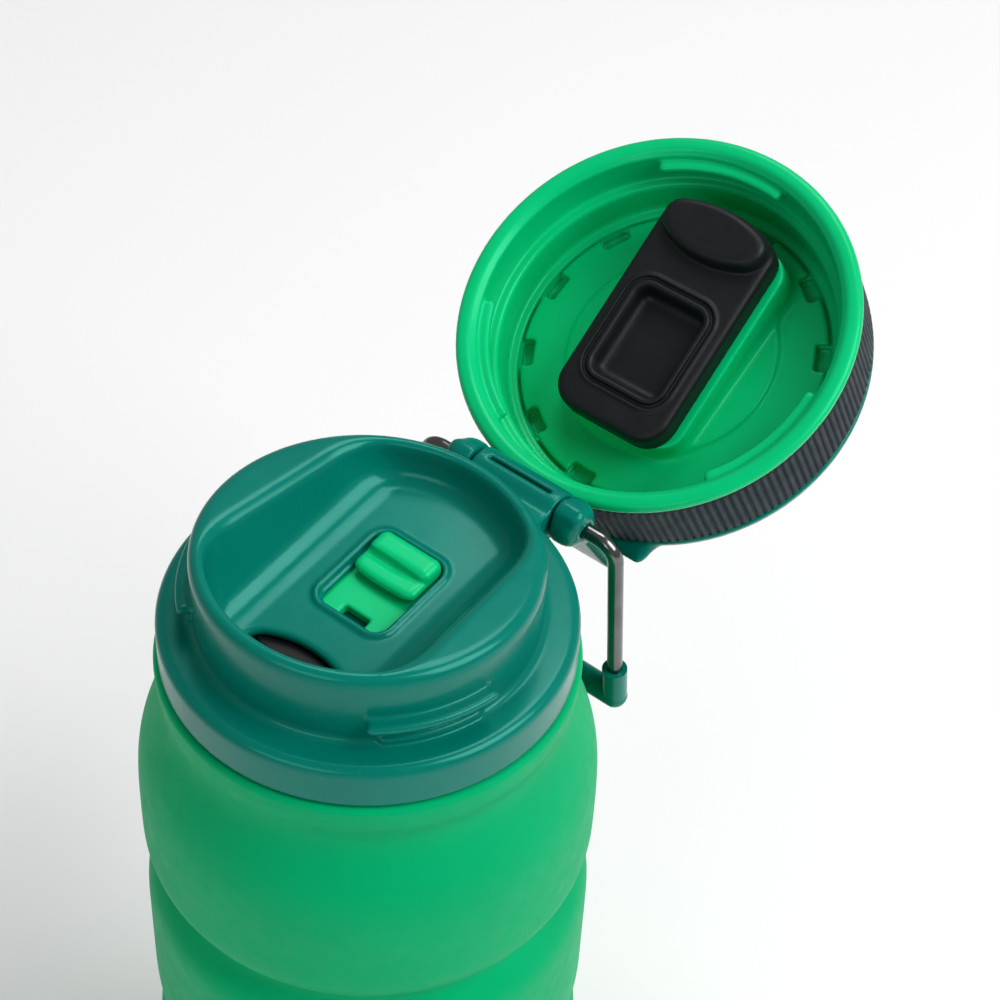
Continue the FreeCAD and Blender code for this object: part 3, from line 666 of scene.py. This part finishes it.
def cap_pieces():
    moulded("liner", liner_field, (-37, -37, 9), (37, 37, 27.6), 0.42,
            "cap_ring", ["cap_liner"], GREEN, True, 190000)
    moulded("notched_disc", core_field, (-29, -29, 14), (29, 29, 26), 0.36,
            "cap", ["cap_core"], GREEN, True, 150000)
    moulded("gasket", gasket_field, (-13, -26, 7), (13, 22, 20), 0.24,
            "cap", ["cap_gasket"], BLACK, True, 150000)
    moulded("cover", cover_field, (-39, -39, 0), (39, 46, 31), 0.45,
            "cap", ["cap_cover"], TEAL, True, 150000)
    grip_band()


# CAD solids that are shown as they are: the bail, and what lies inside

def kept_nodes():
    # The bail wire's dark steel is painted dark reflection.
    materials = {"bail_wire": STEEL, "bail_grip": TEAL, "neck_ring": INNER, "valve_cover": TEAL,
                 # The valve seal's black is partly painted shade for the shadow inside the drink hole.
                 "body_gasket": CLEAR, "valve_seal": BLACK}
    for node, material in materials.items():
        obj = frame["nodes"][node]
        obj.data.materials.clear()
        obj.data.materials.append(material)


# Stage, light and camera

def stage():
    data = bpy.data.meshes.new("floor")
    half = 6.0
    corners = [(-half, -half, 0), (half, -half, 0), (half, half, 0), (-half, half, 0)]
    data.from_pydata(corners, [], [(0, 1, 2, 3)])
    floor = bpy.data.objects.new("floor", data)
    bpy.context.scene.collection.objects.link(floor)
    data.materials.append(Graph("floor_paper", Roughness=0.9, Base_Color=(0.86, 0.86, 0.86, 1)).material)
    world = bpy.data.worlds.new("studio")
    world.use_nodes = True
    world.node_tree.nodes["Background"].inputs["Color"].default_value = (1, 1, 1, 1)
    world.node_tree.nodes["Background"].inputs["Strength"].default_value = 0.30
    bpy.context.scene.world = world
    bpy.context.scene.view_settings.view_transform = "Standard"


def lamp(name, place, aim, size, power):
    data = bpy.data.lights.new(name, "AREA")
    data.shape = "RECTANGLE"
    data.size, data.size_y = size
    data.energy = power
    obj = bpy.data.objects.new(name, data)
    obj.location = place
    obj.rotation_euler = (Vector(aim) - Vector(place)).to_track_quat("-Z", "Y").to_euler()
    bpy.context.scene.collection.objects.link(obj)


def camera():
    azimuth, elevation = math.radians(40.99), math.radians(44.79)
    distance, above_seat = 0.39367, 33.15
    target = Vector((0, 0, (SEAT + above_seat) * MM))
    away = Vector((math.sin(azimuth) * math.cos(elevation), -math.cos(azimuth) * math.cos(elevation),
                   math.sin(elevation)))
    data = bpy.data.cameras.new("camera")
    data.lens, data.sensor_width, data.shift_x = 90.0, 36.0, 0.1322
    data.clip_end = 50
    obj = bpy.data.objects.new("camera", data)
    obj.location = target + away * distance
    obj.rotation_euler = (-away).to_track_quat("-Z", "Y").to_euler()
    bpy.context.scene.collection.objects.link(obj)
    bpy.context.scene.camera = obj


camera()
stage()
lamp("key", (0.95, 0.30, 1.15), (0, 0.02, 0.17), (0.9, 0.9), 18)
lamp("top", (-0.25, 0.55, 1.30), (0, 0.02, 0.17), (0.6, 0.6), 6.5)
lamp("fill", (0.15, -1.2, 0.75), (0, 0, 0.15), (0.9, 0.5), 3.5)
body_pieces()
lid_pieces()
cap_pieces()
kept_nodes()
